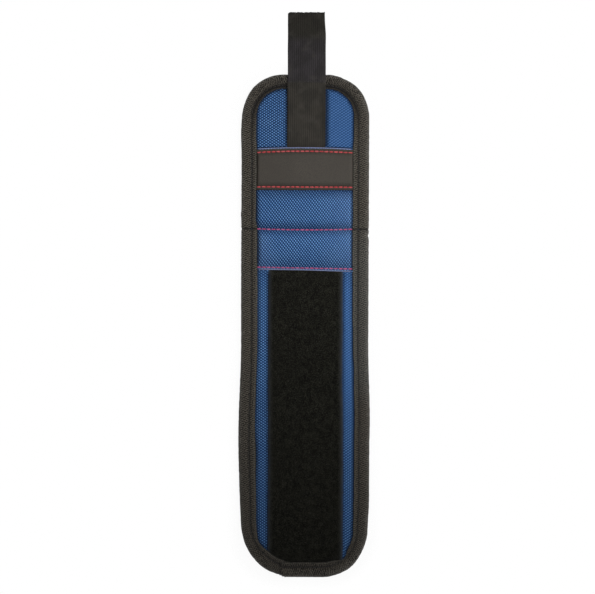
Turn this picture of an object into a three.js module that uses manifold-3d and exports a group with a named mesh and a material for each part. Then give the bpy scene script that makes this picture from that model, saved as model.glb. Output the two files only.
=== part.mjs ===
// Magnetic wristband, opened out flat with its outer face up.
// Millimetres. +X runs across the band, +Y towards the pull tab and +Z away from the wrist.
// The origin is under the middle of the whole length, on the surface that the band lies on.
// The band is soft, so its cloth is divided into bays at the lines where it bends round a wrist.
import * as THREE from "three";
import { mergeVertices } from "three/addons/utils/BufferGeometryUtils.js";
import Module from "manifold-3d";

const wasm = await Module();
wasm.setup();

// Plan of the band
const BAND_LENGTH = 335; // from one bound end to the other
const WAIST_WIDTH = 84.6; // across the bound edges
const HIP_BULGE = 1.4; // how far each edge swells out beside the loop pile
const HIP_FROM_END = 96.5; // middle of that swelling, from the plain end
const HIP_REACH = 62; // half the length of the swelling
const TAB_END_RADIUS = 28;
const PLAIN_END_RADIUS = 34;

// Thickness of each layer
const LINING_T = 3.2; // spacer mesh, the padding against the wrist
const FACE_T = 0.7;
const PANEL_T = 0.7;
const LABEL_T = 0.9;
const LOOP_T = 1.6;
const BINDING_T = 0.9;
const TAB_T = 1.4;
const HOOK_T = 1;

// Clearances
const LAYER_GAP = 0.1; // between layers that lie on each other
const FLEX_GAP = 0.3; // between two bays at a bend line
const MAGNET_FIT = 0.2; // round a magnet in its carrier, and round the carrier in its pocket

// Edge binding, a tape folded round the edge
const BINDING_WIDTH = 10.4; // as it shows on each face
const BINDING_ROLL = 1.8; // radius of the folded edge

// Pocket panel, magnets and label
const PANEL_SETBACK = 48.7; // from the tab end to the panel's first edge
const PANEL_TUCK = 5.5; // side edge held under the binding
const HEM_FIRST = 2.8; // from the panel's first edge to its first seam
const HEM_LAST = 2.3; // from its last seam to its last edge
const MAGNET_DIAMETER = 14;
const MAGNET_T = 2;
const MAGNETS_IN_ROW = 3;
const CARRIER_RIM = 0.8; // plastic left round each magnet
const POCKET_RAMP = 3.3; // width of the slope beside a seam
const SIDE_RAMP = 4; // width of the slope beside the binding
const FIRST_ROW_SLACK = 1.1; // spare height of each row of magnets
const SECOND_ROW_SLACK = 5.4;
const THIRD_ROW_SLACK = 2.7;
const LABEL_SETBACK = 1.2; // from the panel's first edge to the label
const LABEL_LAP = 2.1; // label beyond its second seam
const LABEL_MARGIN = 0.8; // from the binding to the label's short side

// Loop pile
const LOOP_WIDTH = 49.3;
const LOOP_BAYS = 5;

// Pull tab
const TAB_WIDTH = 25.4;
const TAB_OVERHANG = 41.3; // beyond the bound end
const TAB_OFFSET = 0.9; // sewn a little to the right
const TAB_LEAD = 8.5; // from the bound end to the line where the tab bends
const TAB_STEP = 4; // length of its climb on to the binding
const PEEL_DEGREES = 124; // how far its skived ends let it fold back
const HOOK_SIDE = 1.2; // webbing left bare beside the hooks
const HOOK_SETBACK = 2.5; // from the bend to the hooks
const HOOK_END = 1.5; // from the hooks to the tip

// Fineness of curves
const SIDE_STEPS = 6;
const CORNER_STEPS = 12;
const ROLL_STEPS = 3;
const RAMP_STEPS = 5;
const MAGNET_SIDES = 28;

// Places along the band
const HALF_LENGTH = (BAND_LENGTH + TAB_OVERHANG) / 2;
const TIP = HALF_LENGTH;
const TAB_END = HALF_LENGTH - TAB_OVERHANG;
const PLAIN_END = -HALF_LENGTH;
const HIP = PLAIN_END + HIP_FROM_END;
const CARRIER_HEIGHT = MAGNET_DIAMETER + 2 * (MAGNET_FIT + CARRIER_RIM);
const PANEL_FIRST = TAB_END - PANEL_SETBACK;

// Seams across the panel, from the tab end down. Each row of magnets lies between two of them.
const SEAMS = [PANEL_FIRST - HEM_FIRST];
for (const slack of [FIRST_ROW_SLACK, SECOND_ROW_SLACK, THIRD_ROW_SLACK]) {
  SEAMS.push(SEAMS.at(-1) - CARRIER_HEIGHT - 2 * POCKET_RAMP - slack);
}
const [, LABEL_SEAM, MIDDLE_SEAM, LAST_SEAM] = SEAMS;
const PANEL_LAST = LAST_SEAM - HEM_LAST;
const LABEL_FIRST = PANEL_FIRST - LABEL_SETBACK;
const LABEL_LAST = LABEL_SEAM - LABEL_LAP;

// Levels. The lining is pressed thinner where the panel lies on the band.
const ROW_LINING_T = LINING_T - PANEL_T - LAYER_GAP;
const FACE_TOP = LINING_T + LAYER_GAP + FACE_T;
const ROW_FACE_TOP = ROW_LINING_T + LAYER_GAP + FACE_T;
const BINDING_TOP = FACE_TOP + LAYER_GAP + BINDING_T;
const POCKET_FLOOR = ROW_FACE_TOP + LAYER_GAP;
const POCKET_DEPTH = MAGNET_T + LAYER_GAP;

/** A finish for one kind of material. */
function finish(color, roughness, metalness = 0) {
  return new THREE.MeshStandardMaterial({ color, roughness, metalness });
}

const FINISH = {
  face: finish(0x3a5c87, 0.75),
  lining: finish(0x1c1c1c, 0.95),
  binding: finish(0x3e3a35, 0.85),
  label: finish(0x4a4640, 0.6),
  loop: finish(0x181914, 1),
  webbing: finish(0x33312e, 0.8),
  hook: finish(0x202020, 0.7),
  magnet: finish(0xc8c8c4, 0.3, 1),
  carrier: finish(0xd8d4c8, 0.6),
};

const band = new THREE.Group();

/** Adds a named mesh to a bay's group, raised to a level. */
function place(group, name, geometry, material, level = 0) {
  const mesh = new THREE.Mesh(geometry, material);
  mesh.name = name;
  mesh.position.z = level;
  group.add(mesh);
  return mesh;
}

/** The closed geometry as a manifold solid, for joining and cutting. */
function toSolid(geometry) {
  const bare = geometry.clone();
  bare.deleteAttribute("normal");
  bare.deleteAttribute("uv");
  const merged = mergeVertices(bare);
  return new wasm.Manifold(
    new wasm.Mesh({
      numProp: 3,
      vertProperties: merged.attributes.position.array,
      triVerts: new Uint32Array(merged.index.array),
    }),
  );
}

/** A manifold solid as a geometry. */
function toGeometry(solid) {
  const mesh = solid.getMesh();
  const geometry = new THREE.BufferGeometry();
  geometry.setAttribute("position", new THREE.BufferAttribute(mesh.vertProperties, 3));
  geometry.setIndex(new THREE.BufferAttribute(mesh.triVerts, 1));
  geometry.computeVertexNormals();
  return geometry;
}

// The bays, from the tab end down, each between two bend lines
const HALF_FLEX = FLEX_GAP / 2;
const BEND_LINES = [
  PANEL_FIRST + HALF_FLEX,
  LABEL_LAST - HALF_FLEX,
  MIDDLE_SEAM,
  PANEL_LAST - HALF_FLEX,
];
const BAY_LENGTH = (BEND_LINES.at(-1) - PLAIN_END) / LOOP_BAYS;
const bays = [{ name: "tab_end", high: TAB_END, low: BEND_LINES[0] + HALF_FLEX, tabEnd: true }];
for (let i = 0; i < SEAMS.length - 1; i++) {
  bays.push({
    name: `row_${i + 1}`,
    high: BEND_LINES[i] - HALF_FLEX,
    low: BEND_LINES[i + 1] + HALF_FLEX,
    row: i,
  });
}
for (let i = 0; i < LOOP_BAYS; i++) {
  const high = BEND_LINES.at(-1) - i * BAY_LENGTH;
  const last = i === LOOP_BAYS - 1;
  bays.push({
    name: last ? "plain_end" : `bay_${i + 1}`,
    high: high - HALF_FLEX,
    low: last ? PLAIN_END : high - BAY_LENGTH + HALF_FLEX,
    plainEnd: last,
    loop: true,
  });
}

/** Half the band's width at y, before its ends are rounded. */
function sideHalf(y) {
  const away = Math.min(Math.abs(y - HIP) / HIP_REACH, 1);
  return WAIST_WIDTH / 2 + (HIP_BULGE * (1 + Math.cos(Math.PI * away))) / 2;
}

/** Points along a rounded corner on the right, from low to high, drawn in by an inset. */
function corner(centre, radius, inset, low, high) {
  const reach = radius - inset;
  const angleAt = (y) => Math.asin(THREE.MathUtils.clamp((y - centre) / reach, -1, 1));
  const points = [];
  for (let i = 0; i <= CORNER_STEPS; i++) {
    const angle = THREE.MathUtils.lerp(angleAt(low), angleAt(high), i / CORNER_STEPS);
    const x = sideHalf(centre) - radius + reach * Math.cos(angle);
    points.push(new THREE.Vector2(x, centre + reach * Math.sin(angle)));
  }
  return points;
}

/** A bay's right edge drawn in by an inset, from low to high, with what it has of the rounded corners. */
function rightEdge(bay, inset) {
  const firstCorner = PLAIN_END + PLAIN_END_RADIUS;
  const lastCorner = TAB_END - TAB_END_RADIUS;
  const inFirst = bay.low < firstCorner - FLEX_GAP;
  const inLast = bay.high > lastCorner + FLEX_GAP;
  const from = inFirst ? firstCorner : bay.low;
  const to = inLast ? lastCorner : bay.high;
  const runs = [];
  if (inFirst) {
    runs.push(corner(firstCorner, PLAIN_END_RADIUS, inset, bay.low, Math.min(bay.high, firstCorner)));
  }
  if (to - from > FLEX_GAP) {
    const side = [];
    for (let i = 0; i <= SIDE_STEPS; i++) {
      const y = THREE.MathUtils.lerp(from, to, i / SIDE_STEPS);
      side.push(new THREE.Vector2(sideHalf(y) - inset, y));
    }
    runs.push(side);
  }
  if (inLast) {
    runs.push(corner(lastCorner, TAB_END_RADIUS, inset, Math.max(bay.low, lastCorner), bay.high));
  }
  return runs.flatMap((run, i) => (i > 0 ? run.slice(1) : run));
}

/** A bay's left edge, from high to low. */
function leftEdge(bay, inset) {
  return rightEdge(bay, inset)
    .map((p) => new THREE.Vector2(-p.x, p.y))
    .reverse();
}

/** A flat layer of a bay with its edge drawn in by an inset. */
function layer(bay, inset, thickness) {
  const outline = [...rightEdge(bay, inset), ...leftEdge(bay, inset)];
  return new THREE.ExtrudeGeometry(new THREE.Shape(outline), {
    depth: thickness,
    bevelEnabled: false,
  });
}

/** Spacer mesh that fills the binding's fold and comes out level with the binding between its edges. */
function lining(bay, thickness) {
  const underBinding = BINDING_T + LAYER_GAP;
  const edge = layer(bay, underBinding, thickness - underBinding).translate(0, 0, underBinding);
  const middle = layer(bay, BINDING_WIDTH + LAYER_GAP, thickness);
  return toGeometry(toSolid(edge).add(toSolid(middle)));
}

/** Section of the folded tape as distance in from the edge and height, counter-clockwise. */
function bindingSection() {
  const top = BINDING_TOP;
  const section = [
    new THREE.Vector2(BINDING_WIDTH, 0),
    new THREE.Vector2(BINDING_WIDTH, BINDING_T),
    new THREE.Vector2(BINDING_T, BINDING_T),
    new THREE.Vector2(BINDING_T, top - BINDING_T),
    new THREE.Vector2(BINDING_WIDTH, top - BINDING_T),
    new THREE.Vector2(BINDING_WIDTH, top),
  ];
  for (const [height, start] of [
    [top - BINDING_ROLL, Math.PI / 2],
    [BINDING_ROLL, Math.PI],
  ]) {
    for (let i = 0; i <= ROLL_STEPS; i++) {
      const angle = start + (i / ROLL_STEPS) * (Math.PI / 2);
      const inset = BINDING_ROLL * (1 + Math.cos(angle));
      section.push(new THREE.Vector2(inset, height + BINDING_ROLL * Math.sin(angle)));
    }
  }
  return section;
}

/** The folded tape along a run of the edge, whose points run(inset) gives anticlockwise round the band. */
function binding(run) {
  const section = bindingSection();
  const lines = section.map((p) => run(p.x));
  const steps = lines[0].length;
  const corners = [];
  for (let k = 0; k < steps; k++) {
    section.forEach((p, j) => corners.push(lines[j][k].x, lines[j][k].y, p.y));
  }
  const size = section.length;
  const faces = [];
  for (let k = 0; k < steps - 1; k++) {
    for (let j = 0; j < size; j++) {
      const next = (j + 1) % size;
      const a = k * size + j;
      const b = k * size + next;
      faces.push(a, b, b + size, a, b + size, a + size);
    }
  }
  const last = (steps - 1) * size;
  for (const [a, b, c] of THREE.ShapeUtils.triangulateShape(section, [])) {
    faces.push(a, c, b, last + a, last + b, last + c);
  }
  const geometry = new THREE.BufferGeometry();
  geometry.setAttribute("position", new THREE.Float32BufferAttribute(corners, 3));
  geometry.setIndex(faces);
  geometry.computeVertexNormals();
  return geometry;
}

/** How far the panel stands up, flat on its seams and raised over the magnets. */
function pocketHeight(inset, y) {
  const beside = THREE.MathUtils.smoothstep(inset, BINDING_WIDTH, BINDING_WIDTH + SIDE_RAMP);
  const row = SEAMS.findIndex((seam, i) => i > 0 && y > seam && y < SEAMS[i - 1]);
  if (row < 0) {
    return 0;
  }
  const fromSeam = Math.min(y - SEAMS[row], SEAMS[row - 1] - y);
  return POCKET_DEPTH * beside * THREE.MathUtils.smoothstep(fromSeam, 0, POCKET_RAMP);
}

// Lines of the net that the panel and the label share, so that they lie evenly on each other
const NET_INSETS = [BINDING_WIDTH - PANEL_TUCK, BINDING_WIDTH + LABEL_MARGIN];
for (let i = 0; i <= RAMP_STEPS; i++) {
  NET_INSETS.push(BINDING_WIDTH + (SIDE_RAMP * i) / RAMP_STEPS);
}
const NET_ROWS = [LABEL_FIRST, ...SEAMS];
for (let i = 1; i <= RAMP_STEPS; i++) {
  const slope = (POCKET_RAMP * i) / RAMP_STEPS;
  NET_ROWS.push(...SEAMS.slice(0, -1).map((seam) => seam - slope));
  NET_ROWS.push(...SEAMS.slice(1).map((seam) => seam + slope));
}

/** Sorts numbers and drops those that come too close to the one before. */
function spaced(numbers) {
  const closest = 0.02;
  const sorted = [...numbers].sort((a, b) => a - b);
  return sorted.filter((n, i) => i === 0 || n - sorted[i - 1] > closest);
}

/** A sheet over the pockets from low to high, its short sides at an inset from the band's edge. */
function pocketSheet(low, high, edgeInset, level, thickness) {
  const rows = spaced([low, high, ...NET_ROWS.filter((y) => y > low && y < high)]);
  const insets = spaced([edgeInset, ...NET_INSETS.filter((inset) => inset > edgeInset)]);
  const sides = [...insets.map((inset) => [-1, inset]), ...insets.map((inset) => [1, inset]).reverse()];
  const across = sides.length;
  const count = across * rows.length;
  const corners = [];
  for (const lift of [0, thickness]) {
    for (const y of rows) {
      for (const [side, inset] of sides) {
        corners.push(side * (sideHalf(y) - inset), y, level + lift + pocketHeight(inset, y));
      }
    }
  }
  const faces = [];
  for (let r = 0; r < rows.length - 1; r++) {
    for (let c = 0; c < across - 1; c++) {
      const a = r * across + c;
      const b = a + across;
      faces.push(a, b, b + 1, a, b + 1, a + 1);
      const top = a + count;
      faces.push(top, top + 1, top + across + 1, top, top + across + 1, top + across);
    }
  }
  const rim = [];
  for (let c = 0; c < across; c++) rim.push(c);
  for (let r = 1; r < rows.length; r++) rim.push(r * across + across - 1);
  for (let c = across - 2; c >= 0; c--) rim.push((rows.length - 1) * across + c);
  for (let r = rows.length - 2; r > 0; r--) rim.push(r * across);
  rim.forEach((a, i) => {
    const b = rim[(i + 1) % rim.length];
    faces.push(a, b, b + count, a, b + count, a + count);
  });
  const geometry = new THREE.BufferGeometry();
  geometry.setAttribute("position", new THREE.Float32BufferAttribute(corners, 3));
  geometry.setIndex(faces);
  geometry.computeVertexNormals();
  return geometry;
}

/** One row's plastic carrier and the disc magnets that drop into its holes. */
function addMagnets(group, row) {
  const middle = (SEAMS[row] + SEAMS[row + 1]) / 2;
  const half = sideHalf(middle) - BINDING_WIDTH - SIDE_RAMP - MAGNET_FIT;
  const hole = MAGNET_DIAMETER / 2 + MAGNET_FIT;
  const pitch = (2 * half) / MAGNETS_IN_ROW;
  const card = new THREE.Shape([
    new THREE.Vector2(-half, -CARRIER_HEIGHT / 2),
    new THREE.Vector2(half, -CARRIER_HEIGHT / 2),
    new THREE.Vector2(half, CARRIER_HEIGHT / 2),
    new THREE.Vector2(-half, CARRIER_HEIGHT / 2),
  ]);
  for (let i = 0; i < MAGNETS_IN_ROW; i++) {
    const x = (i + 0.5) * pitch - half;
    card.holes.push(new THREE.Path().absarc(x, 0, hole, 0, 2 * Math.PI, true));
    const radius = MAGNET_DIAMETER / 2;
    const disc = new THREE.CylinderGeometry(radius, radius, MAGNET_T, MAGNET_SIDES);
    const magnet = place(group, `magnet_${row + 1}_${i + 1}`, disc, FINISH.magnet);
    magnet.position.set(x, middle, POCKET_FLOOR + MAGNET_T / 2);
    magnet.rotation.x = Math.PI / 2;
  }
  // Each hole has as many sides as its magnet.
  const plate = new THREE.ExtrudeGeometry(card, {
    depth: MAGNET_T,
    bevelEnabled: false,
    curveSegments: MAGNET_SIDES / 2,
  });
  const carrier = place(group, `magnet_carrier_${row + 1}`, plate, FINISH.carrier, POCKET_FLOOR);
  carrier.position.y = middle;
}

/** The loop pile of one bay, cut to the binding's inner edge at the plain end. */
function loopPile(bay) {
  const half = LOOP_WIDTH / 2;
  const strip = new THREE.Shape([
    new THREE.Vector2(-half, bay.low),
    new THREE.Vector2(half, bay.low),
    new THREE.Vector2(half, bay.high),
    new THREE.Vector2(-half, bay.high),
  ]);
  const pile = new THREE.ExtrudeGeometry(strip, { depth: LOOP_T, bevelEnabled: false });
  const inside = layer(bay, BINDING_WIDTH + FLEX_GAP, LOOP_T);
  return toGeometry(toSolid(pile).intersect(toSolid(inside)));
}

// Layers, binding, pockets and pile, bay by bay
const groups = {};
for (const bay of bays) {
  const group = new THREE.Group();
  group.name = bay.name;
  groups[bay.name] = group;
  band.add(group);
  const inRow = bay.row !== undefined;
  const liningT = inRow ? ROW_LINING_T : LINING_T;
  place(group, `lining_${bay.name}`, lining(bay, liningT), FINISH.lining);
  const face = layer(bay, BINDING_T + LAYER_GAP, FACE_T);
  place(group, `face_${bay.name}`, face, FINISH.face, liningT + LAYER_GAP);
  if (bay.tabEnd) {
    const run = (inset) => [...rightEdge(bay, inset), ...leftEdge(bay, inset)];
    place(group, "binding_tab_end", binding(run), FINISH.binding);
  } else if (bay.plainEnd) {
    const run = (inset) => [...leftEdge(bay, inset), ...rightEdge(bay, inset)];
    place(group, "binding_plain_end", binding(run), FINISH.binding);
  } else {
    const left = binding((inset) => leftEdge(bay, inset));
    const right = binding((inset) => rightEdge(bay, inset));
    place(group, `binding_left_${bay.name}`, left, FINISH.binding);
    place(group, `binding_right_${bay.name}`, right, FINISH.binding);
  }
  if (inRow) {
    const panel = pocketSheet(bay.low, bay.high, BINDING_WIDTH - PANEL_TUCK, POCKET_FLOOR, PANEL_T);
    place(group, `pocket_panel_${bay.name}`, panel, FINISH.face);
    addMagnets(group, bay.row);
  }
  if (bay.loop) {
    place(group, `loop_pile_${bay.name}`, loopPile(bay), FINISH.loop, FACE_TOP + LAYER_GAP);
  }
}

// Label band, sewn over the first row of pockets
const LABEL_LEVEL = POCKET_FLOOR + PANEL_T + LAYER_GAP;
const label = pocketSheet(LABEL_LAST, LABEL_FIRST, BINDING_WIDTH + LABEL_MARGIN, LABEL_LEVEL, LABEL_T);
place(groups.row_1, "label_band", label, FINISH.label);

/** Turns a side view, drawn as distance along the band and height, into a strip of the given width. */
function strip(sideView, width, middle) {
  const shape = new THREE.Shape(sideView.map(([y, z]) => new THREE.Vector2(y, z)));
  const geometry = new THREE.ExtrudeGeometry(shape, { depth: width, bevelEnabled: false });
  const along = new THREE.Vector3(0, 1, 0);
  const up = new THREE.Vector3(0, 0, 1);
  const across = new THREE.Vector3(1, 0, 0);
  geometry.applyMatrix4(new THREE.Matrix4().makeBasis(along, up, across));
  return geometry.translate(middle - width / 2, 0, 0);
}

// Pull tab: webbing sewn over the tab end, a free end beyond the bend, and hooks under the free end
const TAB_BEND = TAB_END + TAB_LEAD;
const TAB_LOW = BINDING_TOP + LAYER_GAP;
const TAB_TOP = TAB_LOW + TAB_T;
const TAB_MIDDLE = TAB_LOW + TAB_T / 2;
const SEWN_LOW = FACE_TOP + LAYER_GAP;
const SKIVE = (TAB_T / 2) * Math.tan(THREE.MathUtils.degToRad(PEEL_DEGREES / 2));

// The binding's inner edge, at the tab's outer side, where the climb on to it ends
const tabReach = TAB_OFFSET + TAB_WIDTH / 2;
const tabCorner = TAB_END - TAB_END_RADIUS;
const innerCorner = corner(tabCorner, TAB_END_RADIUS, BINDING_WIDTH, tabCorner, TAB_END);
const CLIMB_END = innerCorner.find((p) => p.x <= tabReach)?.y ?? TAB_END - BINDING_WIDTH;
const CLIMB_START = CLIMB_END - TAB_STEP;

const sewnEnd = TAB_BEND - HALF_FLEX;
const sewnStart = bays[0].low;
const sewn = strip(
  [
    [sewnStart, SEWN_LOW],
    [CLIMB_START, SEWN_LOW],
    [CLIMB_END, TAB_LOW],
    [sewnEnd - SKIVE, TAB_LOW],
    [sewnEnd, TAB_MIDDLE],
    [sewnEnd - SKIVE, TAB_TOP],
    [CLIMB_END, TAB_TOP],
    [CLIMB_START, SEWN_LOW + TAB_T],
    [sewnStart, SEWN_LOW + TAB_T],
  ],
  TAB_WIDTH,
  TAB_OFFSET,
);
place(groups.tab_end, "tab_webbing_sewn", sewn, FINISH.webbing);

const tab = new THREE.Group();
tab.name = "pull_tab";
band.add(tab);
const freeStart = TAB_BEND + HALF_FLEX;
const free = strip(
  [
    [freeStart, TAB_MIDDLE],
    [freeStart + SKIVE, TAB_LOW],
    [TIP, TAB_LOW],
    [TIP, TAB_TOP],
    [freeStart + SKIVE, TAB_TOP],
  ],
  TAB_WIDTH,
  TAB_OFFSET,
);
place(tab, "tab_webbing_free", free, FINISH.webbing);

const hookTop = TAB_LOW - LAYER_GAP;
const hooks = strip(
  [
    [TAB_BEND + HOOK_SETBACK, hookTop - HOOK_T],
    [TIP - HOOK_END, hookTop - HOOK_T],
    [TIP - HOOK_END, hookTop],
    [TAB_BEND + HOOK_SETBACK, hookTop],
  ],
  TAB_WIDTH - 2 * HOOK_SIDE,
  TAB_OFFSET,
);
place(tab, "tab_hook_patch", hooks, FINISH.hook);

export default band;
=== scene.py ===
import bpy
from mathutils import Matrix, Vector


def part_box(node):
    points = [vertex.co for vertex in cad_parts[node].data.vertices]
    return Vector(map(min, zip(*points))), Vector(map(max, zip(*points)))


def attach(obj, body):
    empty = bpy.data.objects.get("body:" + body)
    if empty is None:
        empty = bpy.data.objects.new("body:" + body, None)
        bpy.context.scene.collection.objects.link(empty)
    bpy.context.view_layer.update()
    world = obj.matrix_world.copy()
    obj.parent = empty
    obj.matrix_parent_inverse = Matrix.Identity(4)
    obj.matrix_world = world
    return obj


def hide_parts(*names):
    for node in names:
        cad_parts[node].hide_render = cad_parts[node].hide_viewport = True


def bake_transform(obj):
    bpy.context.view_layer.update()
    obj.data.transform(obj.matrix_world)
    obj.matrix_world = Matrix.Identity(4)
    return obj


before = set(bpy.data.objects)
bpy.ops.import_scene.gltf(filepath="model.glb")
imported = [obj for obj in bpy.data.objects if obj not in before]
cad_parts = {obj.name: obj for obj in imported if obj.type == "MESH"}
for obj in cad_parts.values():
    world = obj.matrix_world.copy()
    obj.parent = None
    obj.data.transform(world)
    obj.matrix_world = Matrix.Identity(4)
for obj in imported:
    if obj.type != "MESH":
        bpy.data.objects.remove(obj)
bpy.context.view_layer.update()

import math
from collections import namedtuple

import bpy
import numpy as np
from mathutils import Vector, noise

# Lining
# Black spacer mesh against the wrist, which is also the padding. It is cut to the band's outline,
# its edge goes inside the folded binding, and the seams of the pockets draw it in from above.
MM = 0.001
TAB_END, PLAIN_END = 146.85, -188.6
TAB_RADIUS = 28.0
PLAIN_RADIUS = {1: 31.0, -1: 37.0}  # right and left corner of the plain end
HALF_WAIST = 42.3
HIP, HIP_REACH = -91.65, 62  # where the band swells, and half the length of the swelling
LINING_INSET = 2.0
LINING_PITCH = 2.0
LAYER_GAP = 0.04  # keeps layers that lie on each other apart
FACE_T, FACE_HIGH = 0.6, 4.0
SEAMS = (95.4, 71.6, 43.65, 17.65)  # the four rows of red stitches, from the tab end down

# Every layer is made in spans, each from the middle of one bay to the middle of the next. A span has
# the bays above and below, the start and end of its bend, and its own high and low end.
Span = namedtuple("Span", "number above below start end high low")
SPANS = [
    Span(1, "tab_end", "row_1", 101.8, 94.8, TAB_END, 83.85),
    Span(2, "row_1", "row_2", 71.6, 67.2, 83.85, 56.525),
    Span(3, "row_2", "row_3", 46.9, 40.4, 56.525, 29.775),
    Span(4, "row_3", "bay_1", 19.9, 11.9, 29.775, -4.505),
    Span(5, "bay_1", "bay_2", -16.91, -32.91, -4.505, -45.315),
    Span(6, "bay_2", "bay_3", -57.72, -73.72, -45.315, -86.125),
    Span(7, "bay_3", "bay_4", -98.53, -114.53, -86.125, -126.935),
    Span(8, "bay_4", "plain_end", -139.34, -155.34, -126.935, PLAIN_END),
]


def bend(piece, span):
    """Bakes a piece's placement into its points. The piece doesn't bend: the span's bend is not applied."""
    span.start * MM
    span.end * MM
    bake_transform(piece)


def smooth(t):
    """A soft step from 0 to 1 as t goes from 0 to 1."""
    t = np.clip(t, 0, 1)
    return t * t * (3 - 2 * t)


def near(value, middle, spread):
    """1 at the middle, and fading away on both sides of it."""
    return np.exp(-(((value - middle) / spread) ** 2))


def placed(x, y, z):
    """Points from their three measures."""
    return np.stack([x, y, z], -1)


def uneven(x, y, size, seed):
    """Soft unevenness between about -1 and 1, with bumps of about that size."""
    return np.vectorize(lambda a, b: noise.noise(Vector((a / size, b / size, seed * 7.3))))(x, y)


def side(y, hand):
    """How far the band's left (-1) or right (1) edge lies from its middle line. It swells beside
    the loop pile, and the sewn edge wanders a little, to the right more than to the left."""
    swell = 0.7 * (1 + np.cos(math.pi * np.minimum(np.abs(y - HIP) / HIP_REACH, 1)))
    left = 0.45 * near(y, 107, 10) - 0.28 * near(y, -50, 40)
    right = 0.6 + 0.8 * near(y, -138, 16) - 0.3 * near(y, -98, 12)
    return HALF_WAIST + swell + np.where(hand < 0, left, right)


def corners(hand):
    """Radius, centre and direction of the two rounded corners on one side of the band."""
    plain = PLAIN_RADIUS[hand]
    return (TAB_RADIUS, TAB_END - TAB_RADIUS, 1), (plain, PLAIN_END + plain, -1)


def reach(y, hand, inset):
    """How far the band goes to the left or right at y, drawn in from its edge."""
    wide = side(y, hand) - inset
    for radius, centre, beyond in corners(hand):
        past = (y - centre) * beyond
        arc = np.sqrt(np.clip((radius - inset) ** 2 - past**2, 0, None))
        wide = np.where(past > 0, side(centre, hand) - radius + arc, wide)
    return hand * wide


def from_corners(x, y):
    """For each rounded corner, its hand, direction and radius, and how far places lie out from its
    centre to the side and to the end."""
    for hand in (1, -1):
        for radius, centre, beyond in corners(hand):
            yield hand, beyond, radius, x * hand - (side(centre, hand) - radius), (y - centre) * beyond


def depth(x, y):
    """How far a place lies in from the band's edge."""
    inside = np.minimum(side(y, x) - np.abs(x), np.minimum(TAB_END - y, y - PLAIN_END))
    for _, _, radius, out, past in from_corners(x, y):
        inside = np.where((out > 0) & (past > 0), radius - np.hypot(out, past), inside)
    return inside


def spaced(first, last, pitch):
    """Even steps of about that pitch from first to last."""
    return np.linspace(first, last, round(abs(last - first) / pitch) + 1)


def net(span, inset, pitch):
    """Rows and columns of places over a span of the band, drawn in from its edge by an inset."""
    rows = spaced(max(span.low, PLAIN_END + inset), min(span.high, TAB_END - inset), pitch)
    columns = np.linspace(0, 1, round(2 * HALF_WAIST / pitch) + 1)
    left, right = reach(rows, -1, inset), reach(rows, 1, inset)
    x = left[:, None] + (right - left)[:, None] * columns
    return x, np.repeat(rows[:, None], len(columns), 1)


def mesh_piece(name, material, points, faces, rest, sharp):
    """A closed mesh in millimetres, which remembers where each point lay before any bending."""
    mesh = bpy.data.meshes.new(name)
    mesh.materials.append(material)
    mesh.from_pydata((points * MM).tolist(), [], faces)
    spot = mesh.attributes.new("rest", "FLOAT_VECTOR", "POINT")
    spot.data.foreach_set("vector", rest.astype(np.float32).ravel())
    mesh.shade_smooth()
    mesh.set_sharp_from_angle(angle=math.radians(sharp))
    piece = bpy.data.objects.new(name, mesh)
    bpy.context.scene.collection.objects.link(piece)
    return piece


def layer(name, material, upper, lower, rest=None, flip=False, sharp=50):
    """A closed sheet between two nets of points, each of rows by columns by xyz."""
    count = upper.shape[0] * upper.shape[1]
    grid = np.arange(count).reshape(upper.shape[:2])
    top = np.stack([grid[:-1, :-1], grid[:-1, 1:], grid[1:, 1:], grid[1:, :-1]], -1).reshape(-1, 4)
    rim = np.concatenate([grid[0], grid[1:, -1], grid[-1, -2::-1], grid[-2:0:-1, 0]])
    after = np.roll(rim, -1)
    walls = np.stack([rim + count, after + count, after, rim], -1)
    faces = np.concatenate([top, top[:, ::-1] + count, walls])
    points = np.concatenate([upper.reshape(-1, 3), lower.reshape(-1, 3)])
    rest = upper if rest is None else rest
    rest = np.concatenate([rest.reshape(-1, 3)] * 2)
    faces = faces[:, ::-1] if flip else faces
    return mesh_piece(name, material, points, faces.tolist(), rest, sharp)


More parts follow.
